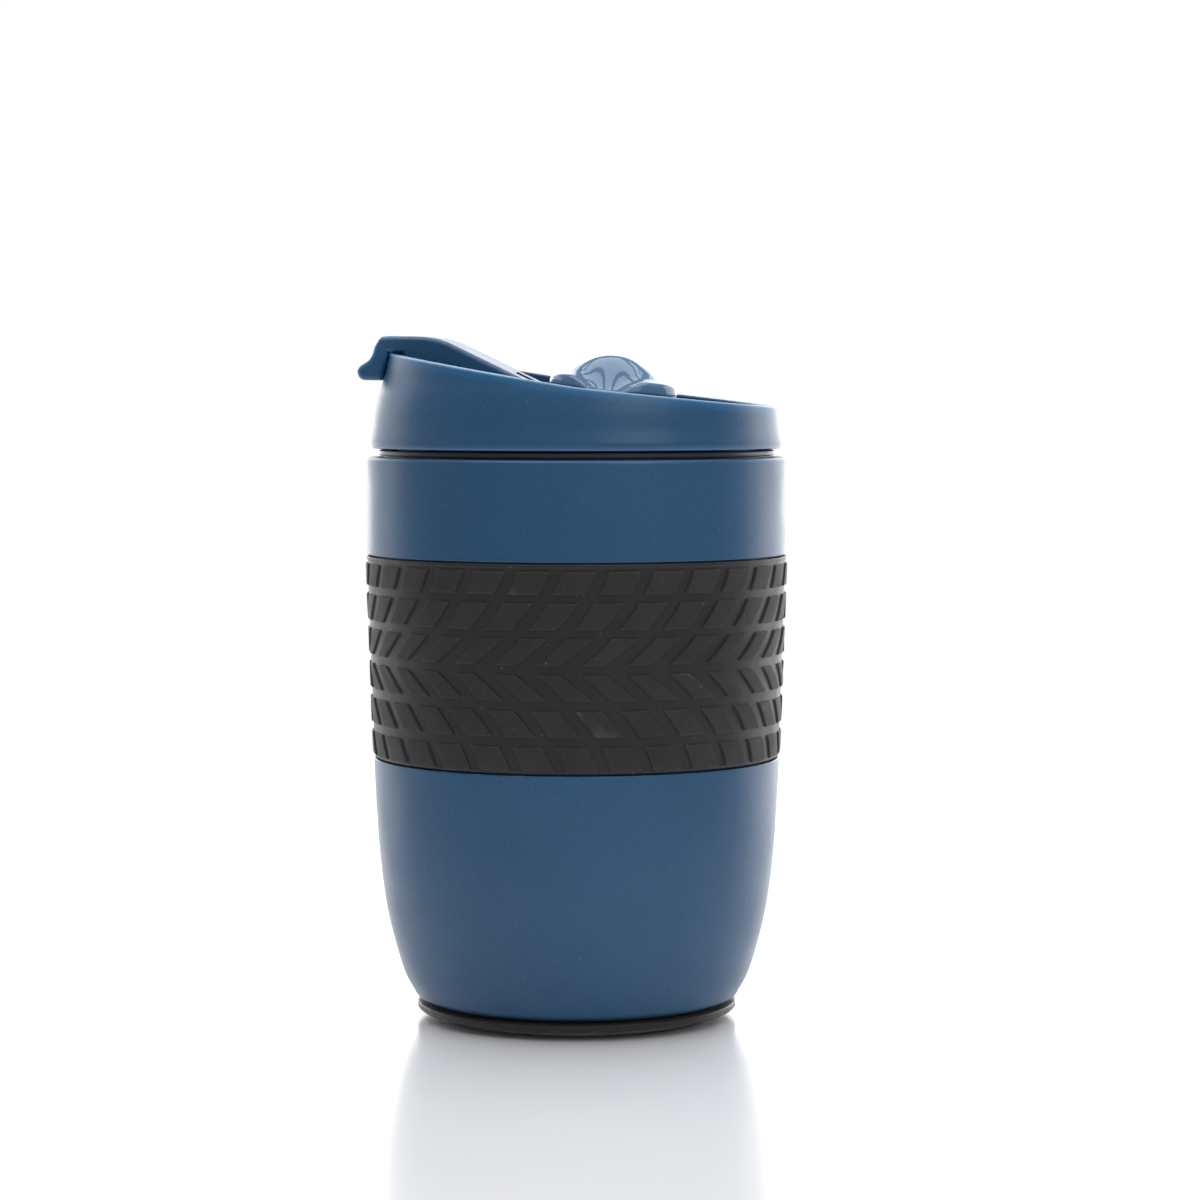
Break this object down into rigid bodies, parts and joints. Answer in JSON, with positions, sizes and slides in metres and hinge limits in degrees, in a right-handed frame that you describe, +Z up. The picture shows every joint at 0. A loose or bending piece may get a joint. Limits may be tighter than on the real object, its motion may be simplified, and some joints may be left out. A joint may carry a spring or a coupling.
{
  "type": "travel mug",
  "caption": "Insulated travel mug with a slanted push-in lid, a hinged drinking flap, a turning vent knob, a tread-pattern rubber grip sleeve and a suction foot that releases when lifted.",
  "frame": {"origin": "on the mug's axis, where the suction lip meets the table", "axes": "+Z up along the mug's axis; the raised side of the lid, with the flap's tab, points to -X; the XZ plane is the plane of symmetry"},
  "size_m": [0.0916, 0.09, 0.1451],
  "materials": {
    "blue_plastic": "satin",
    "gloss_blue": "high gloss",
    "black_rubber": "matte moulded",
    "dark_plastic": "satin",
    "silicone": "satin, slightly see-through",
    "steel": "brushed"
  },
  "bodies": {
    "mug": {"outer_shell": "blue_plastic", "inner_liner": "steel", "mouth_collar": "dark_plastic", "grip_sleeve": "black_rubber", "bottom_plate": "dark_plastic", "valve_stem": "dark_plastic", "stem_nut": "steel", "valve_pad": "black_rubber"},
    "suction_foot": {"base_ring": "black_rubber", "suction_cup": "silicone", "cup_clamp_plate": "dark_plastic", "clamp_screw_1": "steel", "clamp_screw_2": "steel", "clamp_screw_3": "steel"},
    "lid": {"lid_shell": "blue_plastic", "lid_plug": "dark_plastic", "lid_gasket": "silicone", "knob_seal": "black_rubber", "flap_pin": "steel"},
    "flap": {"drinking_flap": "blue_plastic", "drink_stopper": "silicone"},
    "vent": {"vent_knob": "gloss_blue", "vent_disc": "silicone", "vent_screw": "steel"}
  },
  "joints": [
    {"name": "foot_drop", "type": "slide", "parent": "mug", "child": "suction_foot", "axis": [0, 0, -1], "range_m": [0, 0.0025]},
    {"name": "lid_lift", "type": "slide", "parent": "mug", "child": "lid", "axis": [0, 0, 1], "range_m": [0, 0.05]},
    {"name": "flap_hinge", "type": "hinge", "parent": "lid", "child": "flap", "pos_m": [-0.011, 0, 0.1339], "axis": [0, 1, 0], "range_deg": [0, 96]},
    {"name": "knob_turn", "type": "hinge", "parent": "lid", "child": "vent", "pos_m": [0.0078, 0, 0.13333], "axis": [0.1044, 0, 0.9945], "range_deg": [0, 90]}
  ]
}
